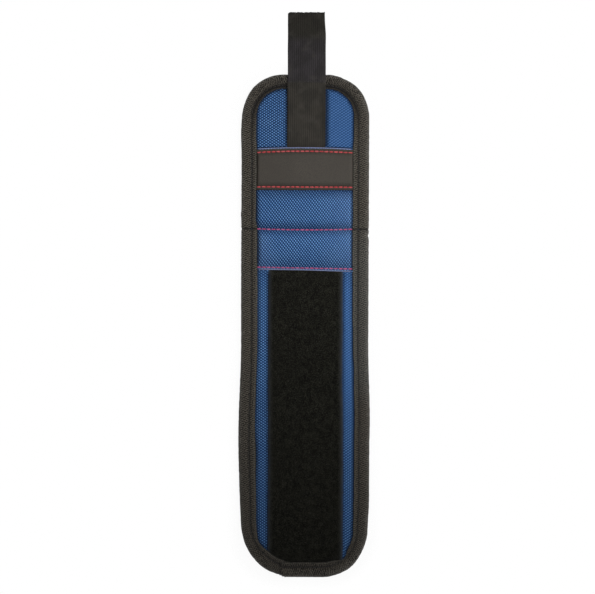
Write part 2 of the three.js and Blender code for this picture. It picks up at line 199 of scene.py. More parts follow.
class Socket:
    """One socket of a material. Sums on it add Math nodes."""

    def __init__(self, tree, link):
        self.tree, self.link = tree, link

    def node(self, kind, sockets=None, out=0, **settings):
        """Adds a node, sets it up, fills its sockets with numbers or links and gives one output."""
        made = self.tree.nodes.new("ShaderNode" + kind)
        for name, value in settings.items():
            setattr(made, name, value)
        for name, value in (sockets or {}).items():
            if isinstance(value, Socket):
                self.tree.links.new(value.link, made.inputs[name])
            else:
                made.inputs[name].default_value = value
        return Socket(self.tree, made.outputs[out] if len(made.outputs) else None)

    def math(self, operation, *others):
        return self.node("Math", dict(enumerate((self, *others))), operation=operation)

    def __add__(self, other):
        return self.math("ADD", other)

    def __sub__(self, other):
        return self.math("SUBTRACT", other)

    def __mul__(self, other):
        return self.math("MULTIPLY", other)

    def __truediv__(self, other):
        return self.math("DIVIDE", other)

    def __rsub__(self, other):
        return self * -1 + other

    def __abs__(self):
        return self.math("ABSOLUTE")

    __radd__, __rmul__ = __add__, __mul__

    def most(self, other):
        """The greater of this and another."""
        return self.math("MAXIMUM", other)

    def wave(self, pitch):
        """A cosine along this measure, one wave to each pitch."""
        return (self * (2 * math.pi / pitch)).math("COSINE")

    def step(self, low, high):
        """A soft step from 0 at low to 1 at high."""
        return self.node("MapRange", {0: self, 1: low, 2: high}, interpolation_type="SMOOTHSTEP")

    def fall(self, low, high):
        """A soft step from 1 at low to 0 at high."""
        return 1 - self.step(low, high)

    def mix(self, first, second):
        """The first colour where this is 0 and the second where it is 1. A colour is a socket or
        three screen values."""
        pair = [one if isinstance(one, Socket) else colour(*one) for one in (first, second)]
        return self.node("Mix", {0: self, 6: pair[0], 7: pair[1]}, out=2, data_type="RGBA")

    def speckle(self, size, detail=2.0):
        """Noise over this place, with spots of about that size, around 0.5."""
        return self.node("TexNoise", {"Vector": self, "Scale": 1 / size, "Detail": detail})

    def parts(self):
        """The three measures of this place."""
        return [self.node("SeparateXYZ", {0: self}, out=axis) for axis in range(3)]


def colour(red, green, blue):
    """A colour given in screen values, as the linear numbers of a shader."""
    screen = np.array([red, green, blue]) / 255
    linear = np.where(screen > 0.04045, ((screen + 0.055) / 1.055) ** 2.4, screen / 12.92)
    return (*linear.tolist(), 1.0)


def finish(name, specular=0.5, sheen=0.0, metallic=0.0, place="rest"):
    """A new material with its plain sockets set, and the place of a point on it in millimetres."""
    material = bpy.data.materials.new(name)
    material.use_nodes = True
    tree = material.node_tree
    plain = {"Specular IOR Level": specular, "Sheen Weight": sheen, "Metallic": metallic}
    for socket, value in plain.items():
        tree.nodes["Principled BSDF"].inputs[socket].default_value = value
    if place == "rest":
        return material, Socket(tree, None).node("Attribute", out=1, attribute_name="rest")
    metres = Socket(tree, None).node("TexCoord", out=3)
    return material, metres.node("VectorMath", {0: metres, 3: 1 / MM}, operation="SCALE")


def dress(material, base, rough, height, raised):
    """Gives a material its colour, roughness and relief, with the relief's depth in millimetres."""
    tree = material.node_tree
    shader = tree.nodes["Principled BSDF"].inputs
    bump = height.node("Bump", {"Height": height, "Strength": 1.0, "Distance": raised * MM})
    for socket, made in (("Base Color", base), ("Roughness", rough), ("Normal", bump)):
        tree.links.new(made.link, shader[socket])


def held_to(z, most, free):
    """A height that is held down to a limit where free is 0."""
    held = np.minimum(z, most)
    return held + (z - held) * free


def face_top(x, y):
    """The top of the face cloth: lower under the pocket panel, and held down under the binding."""
    pressed = smooth((101.5 - y) / 4) * smooth((y - 13.5) / 4)
    inside = depth(x, y)
    loose = smooth((inside - 11) / 4) * (1 - pressed)
    swell = 0.1 * uneven(x, y, 13, 1) + 0.05 * uneven(x, y, 5, 2)
    return held_to(FACE_HIGH - 0.8 * pressed, 3.7, smooth((inside - 9.4) / 2)) + swell * loose


def heading(x, y):
    """The way in from the nearest edge of the band."""
    to_end = np.minimum(TAB_END - y, y - PLAIN_END) < side(y, x) - np.abs(x)
    way = np.stack([np.where(to_end, 0, -np.sign(x)), np.where(to_end, -np.sign(y), 0)], -1)
    for hand, beyond, _, out, past in from_corners(x, y):
        corner = np.stack([-out * hand, -past * beyond], -1)
        corner = corner / np.maximum(np.hypot(out, past), 0.01)[..., None]
        way = np.where(((out > 0) & (past > 0))[..., None], corner, way)
    return way


def bound_width(way, x, y, above):
    """How wide the binding lies above or below, where the way in from the edge is given. It was
    folded by hand, so its width wanders along both sides and is gathered at the lower corners."""
    facing = np.abs(way[..., 0])
    left = 9.85 + 0.5 * smooth((y - 69) / 3) - 0.2 * smooth((y - 98) / 6)
    left = left + 0.95 * smooth((50 - y) / 6) + 0.3 * smooth((25 - y) / 20)
    left = left - 0.2 * near(y, -55, 15) + 0.7 * near(y, -106, 13)
    right = 10.8 - 0.5 * smooth((y - 98) / 8) + 0.25 * near(y, 31, 14)
    right = right - 0.5 * smooth((-5 - y) / 30) - 0.35 * near(y, -49, 9)
    right = right - 0.4 * smooth((-138 - y) / 12)
    sides = np.where(x < 0, left, right)
    ends = np.where(y > 0, 9.8, 10.25)
    width = ends + (sides - ends) * facing**1.5
    turned = np.degrees(np.arctan2(np.abs(way[..., 1]), facing))
    gathered = np.where(x > 0, 2.9 * near(turned, 51, 11), 1.6 * near(turned, 30, 13))
    return width - gathered * above * (y < 0)


def clear_of_binding(x, y, above=1):
    """How far a place lies in from the binding's inner edge."""
    return depth(x, y) - bound_width(heading(x, y), x, y, above)


def lining_bottom(x, y):
    """The underside: soft between the bindings, pulled up along the seams and at the edge."""
    free = clear_of_binding(x, y, 0) + 1.2
    drawn = sum(near(y, seam, 1.0) for seam in SEAMS)
    soft = np.maximum(0.12 + 0.1 * uneven(x, y, 11, 3) - 0.1 * smooth((free - 1.8) / 8), 0.02)
    return np.where(free < 0, 1.3, soft + 1.2 * (1 - smooth(free / 2.4)) + 0.75 * drawn)


spacer, place = finish("black_spacer_mesh", specular=0.12, sheen=0.1)
across, along, _ = place.parts()
hole = (across.wave(2.7) * along.wave(4.2)).step(0.18, 0.5)
knit = (across + along).wave(0.45) * (across - along).wave(0.45)
fuzz = place.speckle(0.5)
yarn = (fuzz * 0.7 + knit * 0.15).mix((16, 16, 17), (48, 48, 50))
# The holes are painted near black, as painted shade inside them.
dress(spacer, hole.mix(yarn, (5, 5, 5)), hole * 0.1 + 0.85, knit * 0.12 - hole + fuzz * 0.2, 0.45)

for span in SPANS:
    x, y = net(span, LINING_INSET, LINING_PITCH)
    top = placed(x, y, face_top(x, y) - FACE_T - LAYER_GAP)
    lining = layer(f"lining_{span.number}", spacer, top, placed(x, y, lining_bottom(x, y)))
    bend(lining, span)
    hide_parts(f"lining_{span.above}", f"lining_{span.below}")

# Face cloth
# Coated blue basket-weave cloth, two yarns over two, the whole length of the band.
# It is laid on the lining and held at the edge by the binding, with a little slack between.
FACE_INSET = 2.6
FACE_PITCH = 1.7
LABEL_LAST = 69.6  # the label's lower edge, below which the second pocket starts
PANEL_FIRST = 98.2  # the pocket panel's folded edge, at its middle
PANEL_BOW, PANEL_HALF = 0.95, 31.5  # how far that edge bows, and over what half width
PILE_MIDDLE, PILE_HALF = 1.05, 25.05  # of the loop pile, beside which the cloth is in shade
TAB_SHADE, TAB_HALF = 1.3, 12.65  # of the tab, whose shade falls more to the right


def seam_bow(x):
    """The first seam, the folded edge and the label's edge bow up over the tab's tail."""
    return PANEL_BOW * (x / PANEL_HALF) ** 2


def first_edge(x):
    """The panel's folded edge at x."""
    return PANEL_FIRST - seam_bow(x)


def shaded(x, y):
    """How much painted shade the cloth gets close under the binding's inner edge, 1 at the edge."""
    return 1 - smooth((clear_of_binding(x, y) - 0.3) / 1.6)


def blue_cloth(name, wide, high, skew, lean, soft, flat, dimmed):
    """Basket weave with a repeat of that width and height, its yarns on top painted lighter as painted
    highlights and its gaps darker as painted shade. It can be skewed, lean to one diagonal, be softer all
    over, be painted paler with shallower gaps to the right and towards the top as painted light, and be
    painted darker, most at the lower left, with painted uneven light."""
    cloth, place = finish(name, specular=0.08, sheen=0.05)
    across, along, fold = place.parts()
    bow = place.speckle(42, 1.0) * 0.5  # the yarns don't run dead straight
    pull = place.speckle(33, 1.0) * 0.5
    warp, weft = across / wide + bow, (along - across * skew) / high + pull
    twist = lean + (0.5 - across.step(-6, 34)) * 0.1 + (place.speckle(26, 1.0) - 0.5) * 0.3
    weave = (warp + weft).wave(1) * twist + (warp - weft).wave(1) * (1 - twist)
    over, crown = weave.step(-0.35, 0.5), abs(weave)
    gap = crown.fall(0.0, 0.5)
    yarns = over * warp.wave(0.25) + (1 - over) * weft.wave(0.25)
    # Painted light: paler, with shallower painted gaps, to the right and towards the top, and softer all
    # over.
    wear_and_painted_light = soft + across.step(-20, 30) * (along.step(-120, -60) * 0.8 + 0.2) * flat
    tone = (place.speckle(16) * 0.7 + place.speckle(0.6) * 0.3).step(0.25, 0.75)
    # The yarns on top are painted lighter, as painted highlights, and the gaps between them darker, as
    # painted shade.
    low = wear_and_painted_light.mix((20, 50, 94), (48, 86, 138))
    high_tone = tone.mix((116, 166, 222), (100, 150, 210))
    lit = over.mix(low, wear_and_painted_light.mix(high_tone, (76, 118, 176)))
    deep = (gap * (1 - wear_and_painted_light * 0.8)).mix(lit, (6, 20, 54))
    # Painted shade: a patch at the upper left of the second pocket, and beside the label's lower edge and
    # the last two seams.
    drawn = across.fall(-26, -6) * along.step(60, 66) * along.fall(70, 72) * 0.4
    for seam, reach_out, most in ((LABEL_LAST, 7.5, 1.0), (SEAMS[2], 5.5, 1.0), (SEAMS[3], 15.0, 0.45)):
        drawn = drawn.most(most - abs(along - seam) * (most / reach_out))
    # A darker tone over the cloth, with painted uneven light: more shade at the lower left, more light
    # beside the upper part of the pile.
    left_strip, lower = across.fall(-28, -22), along.fall(-80, -50)
    painted_light_beside_pile = (across.step(24, 30) + left_strip * 0.5) * (1 - lower) * along.fall(14, 20)
    seam_shade_and_dimming = drawn.most(0.0) * 0.55 + (left_strip * lower * 0.8 - painted_light_beside_pile + 1) * dimmed
    deep = seam_shade_and_dimming.mix(deep, (10, 26, 58))  # painted shade by the seams and below the label, and a darker tone with painted uneven light, darkest at the lower left and lightest beside the upper part of the pile
    pocket_side_light = across.step(6, 34) * along.fall(66, 70)
    pocket_side_light = pocket_side_light + across.fall(-34, -14) * along.fall(38, 42)
    deep = (pocket_side_light * along.step(14, 18) * 0.06).mix(deep, (150, 172, 210))  # painted light on the sides of the pockets
    crease, painted_shade = fold.most(0.0), (fold * -1).most(0.0)
    past_hem = along + across * across * (PANEL_BOW / PANEL_HALF**2) - PANEL_FIRST
    painted_shade = painted_shade.most(past_hem.step(0.0, 0.1) * past_hem.fall(0.3, 1.5))
    # Beside the loop pile the painted shade also stands for its fuzz lying on the cloth.
    past_pile = abs(across - PILE_MIDDLE) - PILE_HALF
    painted_shade = painted_shade.most(past_pile.fall(-0.6, 2.4) * along.fall(14.5, 15.0) * 0.7)
    past_tab = abs(across - TAB_SHADE) - TAB_HALF
    painted_shade = painted_shade.most(past_tab.fall(0.0, 3.6) * along.step(97.5, 99.5))
    paler_folds = (crease * 0.8).mix(deep, (132, 138, 172))  # paler where the cloth is folded sharply
    base = (painted_shade * 0.85).mix(paler_folds, (8, 16, 32))  # painted shade beside the binding, above the panel's folded edge, beside the loop pile and beside the tab
    dress(cloth, base, 0.66 + gap * 0.2, crown * (1 - crease * 0.7) + yarns * 0.18, 0.2)
    return cloth


face_blue = blue_cloth(
    "blue_basket_weave", wide=2.65, high=1.82, skew=0.0, lean=0.47, soft=0.2, flat=0.6, dimmed=0.17
)

for span in SPANS:
    x, y = net(span, FACE_INSET, FACE_PITCH)
    z = face_top(x, y)
    rest = placed(x, y, -shaded(x, y))
    face = layer(f"face_{span.number}", face_blue, placed(x, y, z), placed(x, y, z - FACE_T), rest)
    bend(face, span)
    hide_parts(f"face_{span.above}", f"face_{span.below}")
    flat = (float(np.ptp(x)) * MM, float(np.ptp(y)) * MM)
    cut = float(np.sum(np.diff(y[:, 0]) * (np.ptp(x, 1)[1:] + np.ptp(x, 1)[:-1]) / 2)) * MM**2

# Loop pile
# A wide strip of black napped loop tape, laid on from under the panel's last edge to under the
# binding of the plain end. Its loops stand up unevenly, and some hang over its two long edges.
PILE_LEFT, PILE_RIGHT = -23.8, 26.35
PILE_FIRST = 16.4
PILE_LAST = PLAIN_END + 8.6
PILE_HEIGHT = 1.55
PILE_PITCH = 0.8
LOOPS_TO_MM2, FRINGE_TO_MM = 0.42, 5.0
LOOP_YARN = 0.055  # radius


def tubes(name, material, paths, radii, sides, lead=None):
    """Many short tubes in one mesh, along paths of n by points by xyz, with closed ends."""
    count, steps = paths.shape[:2]
    run = np.gradient(paths, axis=1)
    run /= np.linalg.norm(run, axis=2, keepdims=True)
    aside = np.cross(run, np.array([0.123, 0.321, 0.94]))
    aside /= np.linalg.norm(aside, axis=2, keepdims=True)
    rise = np.cross(aside, run)
    turn = np.arange(sides) * 2 * math.pi / sides
    ring = aside[:, :, None] * np.cos(turn)[:, None] + rise[:, :, None] * np.sin(turn)[:, None]
    points = paths[:, :, None] + ring * np.broadcast_to(radii, (count, steps))[:, :, None, None]
    index = np.arange(count * steps * sides).reshape(count, steps, sides)
    after = np.roll(index, -1, axis=2)
    walls = np.stack([index[:, :-1], after[:, :-1], after[:, 1:], index[:, 1:]], -1).reshape(-1, 4)
    faces = walls.tolist() + index[:, 0, ::-1].tolist() + index[:, -1].tolist()
    gone = np.cumsum(np.linalg.norm(np.diff(paths, axis=1, prepend=paths[:, :1]), axis=2), axis=1)
    lead = np.zeros(count) if lead is None else lead
    rest = np.zeros(points.shape)
    rest[..., 0] = gone[:, :, None]
    rest[..., 1] = turn
    rest[..., 2] = lead[:, None, None]
    return mesh_piece(name, material, points.reshape(-1, 3), faces, rest.reshape(-1, 3), 80)


def pile_edges(y):
    """Left and right edge of the pile at y, cut to the binding at the plain end."""
    sway = 0.22 * uneven(y, y * 0, 17, 4)
    upper = smooth((y + 90) / 40)
    left = np.maximum(PILE_LEFT - 0.3 * upper + sway, reach(y, -1, 9.0))
    right = PILE_RIGHT - 0.7 * upper + sway
    return left, np.minimum(right, reach(y, 1, 6.7))


def pile_top(x, y):
    """The tips of the loops: rounded off at the edges, and pressed where the pile goes under."""
    left, right = pile_edges(y)
    edge = np.minimum(x - left, right - x)
    held = smooth((PILE_FIRST - y) / 4.5) * smooth((depth(x, y) - 9.4) / 3.2)
    nap = 0.16 * uneven(x, y, 1.1, 5) + 0.12 * uneven(x, y, 3.5, 6) + 0.1 * uneven(x, y, 12, 7)
    full = (0.35 + (PILE_HEIGHT - 0.35) * held) * (0.15 + 0.85 * np.sqrt(np.clip(edge / 2.6, 0, 1)))
    return face_top(x, y) + LAYER_GAP + np.maximum(full + nap * held * smooth(edge / 1.5), 0.12)


pile, place = finish("black_loop_pile", specular=0.04, sheen=0.05)
_, _, edge = place.parts()
nap = place.speckle(0.55, 3.0)
patch = place.speckle(4.0)
tuft = (nap * 0.8 + patch * 0.2).step(0.42, 0.67)
thin = edge.fall(-2.6, 3.4)
thin = thin * thin * (1.1 - tuft * 0.5)  # the blue shows through the nap at its edges
nap_colour = tuft.mix((6, 6, 5), (45, 45, 38))
teased = edge.fall(0.0, 4.0) * 0.3  # fluffed up, so paler, beside the edges
base = thin.mix(teased.mix(nap_colour, (74, 74, 70)), (62, 86, 122))
dress(pile, base, 0.95 - tuft * 0.05, nap, 0.5)

fibre, place = finish("black_loop_yarn", specular=0.08, sheen=0.08)
gone, _, kind = place.parts()
shade = (kind + gone.wave(0.3) * 0.05).step(0.0, 1.0)
dress(fibre, shade.mix((14, 14, 12), (48, 47, 42)), 0.92 - shade * 0.06, gone.wave(0.35), 0.03)

draw = np.random.default_rng(11)
for span in SPANS[3:]:
    high, low = min(span.high, PILE_FIRST), max(span.low, PILE_LAST)
    rows = spaced(low, high, PILE_PITCH)
    share = spaced(0, 1, PILE_PITCH / (PILE_RIGHT - PILE_LEFT))
    left, right = pile_edges(rows)
    x = left[:, None] + (right - left)[:, None] * share
    y = np.repeat(rows[:, None], len(share), 1)
    top = placed(x, y, pile_top(x, y))
    bottom = placed(x, y, face_top(x, y) + LAYER_GAP / 2)
    edge = np.minimum(x - left[:, None], right[:, None] - x)
    strip = layer(f"loop_pile_{span.number}", pile, top, bottom, placed(x, y, edge), sharp=70)
    bend(strip, span)
    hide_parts(*(f"loop_pile_{bay}" for bay in (span.above, span.below) if not bay.startswith("row")))

    # Single loops: most on the top of the pile, the rest along its two edges
    held_low = max(low, PLAIN_END + 11.6)
    open_run = high - 2.5 - held_low
    many = round(open_run * (PILE_RIGHT - PILE_LEFT) * LOOPS_TO_MM2)
    fringe = round(open_run * FRINGE_TO_MM)
    y = held_low + open_run * draw.random(many + 2 * fringe)
    left, right = pile_edges(y)
    x = left + 2.6 + (right - left - 5.2) * draw.random(len(y))
    hang = 3.2 - 4.6 * draw.random(2 * fringe) ** 1.6  # from inside the edge to beyond it
    x[many : many + fringe] = left[many : many + fringe] + hang[:fringe]
    x[many + fringe :] = right[many + fringe :] - hang[fringe:]
    keep = depth(x, y) > 11.4
    x, y = x[keep], y[keep]
    lean = draw.uniform(0, 2 * math.pi, len(x))
    size = draw.uniform(0.28, 0.62, len(x))
    arc = np.linspace(-0.35, math.pi + 0.35, 7)
    flat = placed(np.cos(lean), np.sin(lean), 0 * lean)
    foot = placed(x, y, pile_top(x, y) - 0.05)
    loops = (
        foot[:, None]
        + flat[:, None] * (np.cos(arc)[None, :] * size[:, None] * 0.8)[..., None]
        + np.array([0, 0, 1.0]) * (np.sin(arc)[None, :] * size[:, None] * 0.75)[..., None]
    )
    yarn = tubes(f"loop_yarn_{span.number}", fibre, loops, LOOP_YARN, 4, draw.random(len(x)) ** 3)
    bend(yarn, span)
    cut = (float(np.mean(top[:, -1, 0] - top[:, 0, 0])) * MM, (high - low) * MM)

# Magnets and carriers
# Nickel-plated disc magnets, dropped into a moulded plastic card that keeps them apart.
# One card lies in each pocket before the pocket is sewn shut, so they don't show.
nickel, place = finish("magnet_nickel_plate", metallic=1.0, place="object")
brushed = place.speckle(0.3, 4.0)
spots = place.speckle(2.5, 3.0)
dress(nickel, spots.mix((186, 184, 178), (214, 213, 209)), 0.2 + brushed * 0.18, brushed, 0.01)

plastic, place = finish("carrier_moulded_plastic", specular=0.45, place="object")
grain = place.speckle(0.25, 3.0)
flow = place.speckle(9.0)
dress(plastic, flow.mix((198, 194, 182), (222, 218, 207)), 0.45 + grain * 0.2, grain, 0.02)

for name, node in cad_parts.items():
    if name.startswith("magnet_"):
        node.data.materials.clear()
        node.data.materials.append(plastic if "carrier" in name else nickel)

# Pocket panel
# A second piece of the blue cloth. Its first edge is folded under, its sides go into the binding,
# and four seams hold it down, so that it stands up softly over the magnets in three pockets.
# It is cut across the roll, so its weave lies the other way and a little askew.
PANEL_T = 0.65
PANEL_TUCK = 5.0
PANEL_LAST = 15.95  # its last edge, at the middle
PANEL_PITCH = 0.8
PANEL_HIGH, PANEL_UNDER_BINDING = 3.98, 3.78
POCKET_RISES = (2.15, 3.5, 3.5)
POCKET_SLOPES = (3.7, 9.5, 9.0)
TAB_MIDDLE = 0.9
STITCH_PITCH = 3.2


def seam_at(number, x):
    """Where a seam across the panel runs. The third sags a little, and the last one is askew."""
    sag = (seam_bow(x), 0 * x, 0.5 - 0.5 * (x / 32) ** 2, 0.0145 * x)
    return SEAMS[number] - sag[number]


def last_edge(x):
    """The panel's edge beside the loop pile at x."""
    return PANEL_LAST - 0.02 * x + 0.12 * np.cos(x / 9)


def bulged(t):
    """A step from 0 to 1 that is steepest at its start, as cloth is beside a seam."""
    return 1 - (1 - np.clip(t, 0, 1)) ** 2


def pocket_rise(x, y):
    """How far the panel stands up over the magnets."""
    rise = 0
    for number, (slope, full) in enumerate(zip(POCKET_SLOPES, POCKET_RISES)):
        start = LABEL_LAST if number == 1 else seam_at(number, x) - 0.4
        rise = rise + full * bulged(np.minimum(start - y, y - seam_at(number + 1, x) - 0.4) / slope)
    return rise * bulged((clear_of_binding(x, y) - 0.1) / 3.2)


def panel_top(x, y):
    """The top of the panel: its pockets, its wrinkle, its seams and its two folded edges."""
    rise = pocket_rise(x, y)
    soft = np.minimum(rise / 2, 1)
    z = PANEL_HIGH + rise + soft * (0.12 * uneven(x, y, 12, 8) + 0.07 * uneven(x + y * 0.6, y, 5, 9))
    wrinkle = near(y + 0.4 * (x + 25), 65.5, 1.7) * near(x, -26, 6)
    z = z - 0.9 * soft * wrinkle
    for number in range(4):
        off = y - seam_at(number, x)
        z = z - 0.22 * near(off, 0, 0.55)
        z = z + 0.1 * np.cos(2 * math.pi * x / STITCH_PITCH) * near(np.abs(off), 1.3, 1.1)
    tail = smooth((16.5 - np.abs(x - TAB_MIDDLE)) / 4)
    z = z + (0.5 + 0.35 * tail) * smooth((y - seam_at(0, x) - 0.4) / 1.6)
    z = z + 0.75 * smooth((seam_at(3, x) - 0.3 - y) / 1.2)
    fold = np.minimum(first_edge(x) - y, y - last_edge(x))
    z = z - 0.6 * (1 - np.sqrt(np.clip(1 - (1 - np.clip(fold / 0.6, 0, 1)) ** 2, 0, 1)))
    return held_to(z, PANEL_UNDER_BINDING, smooth((clear_of_binding(x, y) + 1.0) / 1.2))


panel_blue = blue_cloth(
    "blue_weave_cut_across", wide=1.835, high=2.48, skew=0.161, lean=0.49, soft=0.1, flat=0.1, dimmed=0.0
)

for span in SPANS[:4]:
    tall = min(span.high, PANEL_FIRST) - max(span.low, PANEL_LAST)
    steps = np.linspace(0, 1, round(tall / PANEL_PITCH))
    finer = {1: [0.97, 0.984, 0.992], 4: [0.01, 0.02, 0.036]}.get(span.number, [])  # at a folded edge
    edges = np.unique(np.round(np.concatenate([steps, finer]), 5))
    left, right = (float(hand * (side(span.low, hand) - PANEL_TUCK)) for hand in (-1, 1))
    x, share = np.meshgrid(left + (right - left) * np.linspace(0, 1, 71), edges)
    high = first_edge(x) if span.number == 1 else span.high
    low = last_edge(x) if span.number == 4 else span.low
    y = low + (high - low) * share
    z = panel_top(x, y)
    folded = smooth((y - first_edge(x) + 2.2) / 1.4) + smooth((last_edge(x) + 2.0 - y) / 1.4)
    under = np.maximum(z - PANEL_T * (1 + 0.6 * np.clip(folded, 0, 1)), 3.25)
    under = np.minimum(under, z - 0.08)
    hem = smooth((y - first_edge(x) + 0.9) / 0.5) + smooth((last_edge(x) + 1.0 - y) / 0.6)
    upper, lower, rest = (placed(x, y, level) for level in (z, under, hem - shaded(x, y)))
    panel = layer(f"pocket_panel_{span.number}", panel_blue, upper, lower, rest)
    if span.number == 1:
        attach(panel, "row_1")
    else:
        bend(panel, span)
    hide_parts(*(f"pocket_panel_{bay}" for bay in (span.above, span.below) if bay.startswith("row")))
    size = ((right - left) * MM, float(np.mean(high - low)) * MM)

# Label band
# A bare strip of dark grey leatherette over the first row of pockets. It is caught in the first two
# seams and its ends go under the binding. Its upper edge springs up a little beyond the stitches.
LABEL_T = 0.75
LABEL_LEFT, LABEL_RIGHT = -34.3, 34.5
LABEL_UNDER_BINDING = 4.3


def label_top(x, y):
    """The top of the label: raised by the pockets, and drawn down by its two seams."""
    from_seams = np.minimum(seam_at(0, x) - y, y - seam_at(1, x))
    held = (1 - bulged(from_seams / 3.4)) * 0.8
    z = 4.02 + LABEL_T + POCKET_RISES[0] * (1 - held) + 0.04 * uneven(x, y, 9, 10)
    for number in (0, 1):
        off = y - seam_at(number, x)
        z = z - 0.3 * near(off, 0, 0.8)
        z = z + 0.03 * np.cos(2 * math.pi * x / STITCH_PITCH) * near(off, 0, 1.6)
    z = z + 0.3 * smooth((y - seam_at(0, x) - 0.3) / 1.2) - 0.12 * smooth((seam_at(1, x) - 1.0 - y) / 1.0)
    free = bulged((clear_of_binding(x, y) + 0.05) / 1.3)
    return LABEL_UNDER_BINDING + (z - LABEL_UNDER_BINDING) * free


leather, place = finish("dark_leatherette", specular=0.14)
pebble = place.node("TexVoronoi", {"Vector": place, "Scale": 1.5}, feature="DISTANCE_TO_EDGE")
pebble = pebble.step(0.0, 0.28)
rub = place.speckle(17, 3.0)
fine = place.speckle(0.8)
tint = (rub * 0.75 + fine * 0.25).step(0.3, 0.7).mix((63, 58, 52), (69, 64, 57))
tint = (1 - pebble).mix(tint, (55, 52, 48))
_, along, _ = place.parts()
flap_shade = along.fall(LABEL_LAST + 0.3, LABEL_LAST + 1.5) * 0.6  # painted shade on the lower edge, which is bent down beyond its seam
dress(leather, flap_shade.mix(tint, (24, 22, 20)), 0.62 - rub * 0.12, pebble + fine * 0.5, 0.05)

x, share = np.meshgrid(np.linspace(LABEL_LEFT, LABEL_RIGHT, 87), np.linspace(0, 1, 50))
y = LABEL_LAST + (first_edge(x) - 0.8 - LABEL_LAST) * share
y = y + 0.1 * uneven(x, y, 14, 12)
z = label_top(x, y)
thick = 0.45 + (LABEL_T - 0.45) * smooth((z - LABEL_UNDER_BINDING) / 0.5)
label = layer("label_strip", leather, placed(x, y, z), placed(x, y, z - thick))
bevel = label.modifiers.new("cut_edge", "BEVEL")
bevel.width, bevel.segments, bevel.limit_method = 0.18 * MM, 2, "ANGLE"
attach(label, "row_1")
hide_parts("label_band")

# Red seam thread
# Four rows of red lockstitch across the panel, right through the band. The first two also hold the
# label. Each stitch dives into its holes, and its underthread lies in a groove of the lining.
RED_THREAD = 0.43  # radius
STITCH_LENGTH = 3.1
SEAM_ENDS = ((-31.9, 32.2), (-31.9, 32.2), (-31.8, 32.2), (-31.7, 32.3))


def stitches(name, material, starts, ends, radius, up, seed):
    """Separate stitches between pairs of points, each a tight twisted thread that dips at its ends."""
    share = np.array([0, 0.07, 0.2, 0.5, 0.8, 0.93, 1.0])
    dip = np.array([-1.3, -0.45, 0.1, 0.3, 0.1, -0.45, -1.3]) * radius
    paths = starts[:, None] + (ends - starts)[:, None] * share[:, None]
    paths = paths + np.array([0, 0, up]) * dip[:, None]
    thick = radius * np.array([0.6, 0.85, 1.0, 1.05, 1.0, 0.85, 0.6])
    return tubes(name, material, paths, thick, 8, np.random.default_rng(seed).random(len(starts)))


def sewing_thread(name, specular, sheen):
    """The material of a twisted thread, how far along a stitch it is, its shade and its twist."""
    thread, place = finish(name, specular, sheen)
    gone, turn, kind = place.parts()
    return thread, gone, kind, (gone * 1.1 + turn * 0.175).wave(0.35)


reds = []
for name, plain, lit, deep in (
    ("red_sewing_thread", (188, 44, 52), (218, 98, 100), (104, 24, 32)),
    ("red_thread_on_blue", (178, 50, 98), (206, 112, 156), (96, 30, 70)),
):
    red, gone, kind, twist = sewing_thread(name, specular=0.2, sheen=0.15)
    # Each stitch is a random tone between its plain and lit colour, lighter on the ridges of its twist as
    # painted highlights, and painted darker where it dives into its holes, as painted shade.
    dip = abs(gone - STITCH_LENGTH / 2 - 0.1).step(STITCH_LENGTH * 0.2, STITCH_LENGTH * 0.46)
    tint = (kind * 0.5 + twist * 0.25 + 0.25).step(0.0, 1.0).mix(plain, lit)
    dress(red, dip.mix(tint, deep), 0.55 + dip * 0.2, twist, 0.05)
    reds.append(red)

for number, (low, high) in enumerate(SEAM_ENDS):
    starts = np.arange(low, high - STITCH_LENGTH, STITCH_PITCH)
    free = np.abs(starts + STITCH_LENGTH / 2) < 30.5
    above, below = [], []
    for x in (starts, starts + STITCH_LENGTH):
        y = seam_at(number, x) + 0.08 * uneven(x, x * 0, 3, 13 + number)
        top = label_top(x, y) if number < 2 else panel_top(x, y)
        above.append(placed(x, y, top + 0.1))
        below.append(placed(x, y, lining_bottom(x, y) - 0.05)[free])
    red = reds[0 if number < 2 else 1]
    over = stitches(f"red_seam_{number + 1}", red, *above, RED_THREAD + 0.07 * (number < 2), 1, number)
    under = stitches(f"red_underseam_{number + 1}", red, *below, RED_THREAD * 0.9, -1, 20 + number)
    for seam in (over, under):
        if number < 2:
            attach(seam, "row_1")
        else:
            bend(seam, SPANS[number])

# Edge binding
# One dark woven tape folded over the whole edge and sewn through, so that its stitched line sinks
# and its fold stays round. Its inner edge gathers at the corners, and its ends lap at the plain end.
TAPE_T = 0.55
BINDING_WIDTH = 10.4
LAP_AT = -15.8
SEAM_DEPTH = 6.9
FOLD_HIGH = 2.5
RUN_PITCH = 0.6
BINDING_PITCH, BINDING_STITCH = 3.0, 2.3
DARK_THREAD = 0.24  # radius
HALF_SECTION = np.array(
    [
        (10.4, 4.3), (10.3, 4.5), (9.9, 4.64), (9.2, 4.7), (8.4, 4.68), (7.7, 4.56), (7.2, 4.38),
        (6.9, 4.28), (6.6, 4.36), (6.1, 4.58), (5.4, 4.8), (4.6, 4.94), (3.7, 5.02), (2.9, 5.03),
        (2.1, 4.93), (1.4, 4.7), (0.8, 4.33), (0.35, 3.75), (0.08, 3.1), (0.0, 2.5),
    ]
)
LOWER_SECTION = HALF_SECTION[-2::-1] * (1, -1) + (0, 5.03)  # the same, upside down
SECTION = np.concatenate([HALF_SECTION, LOWER_SECTION])

# A run of the edge: its points, the way in, how far along, and how gathered, lifted, sunk and trimmed
Run = namedtuple("Run", "edge inward along gather lift sunk trimmed")


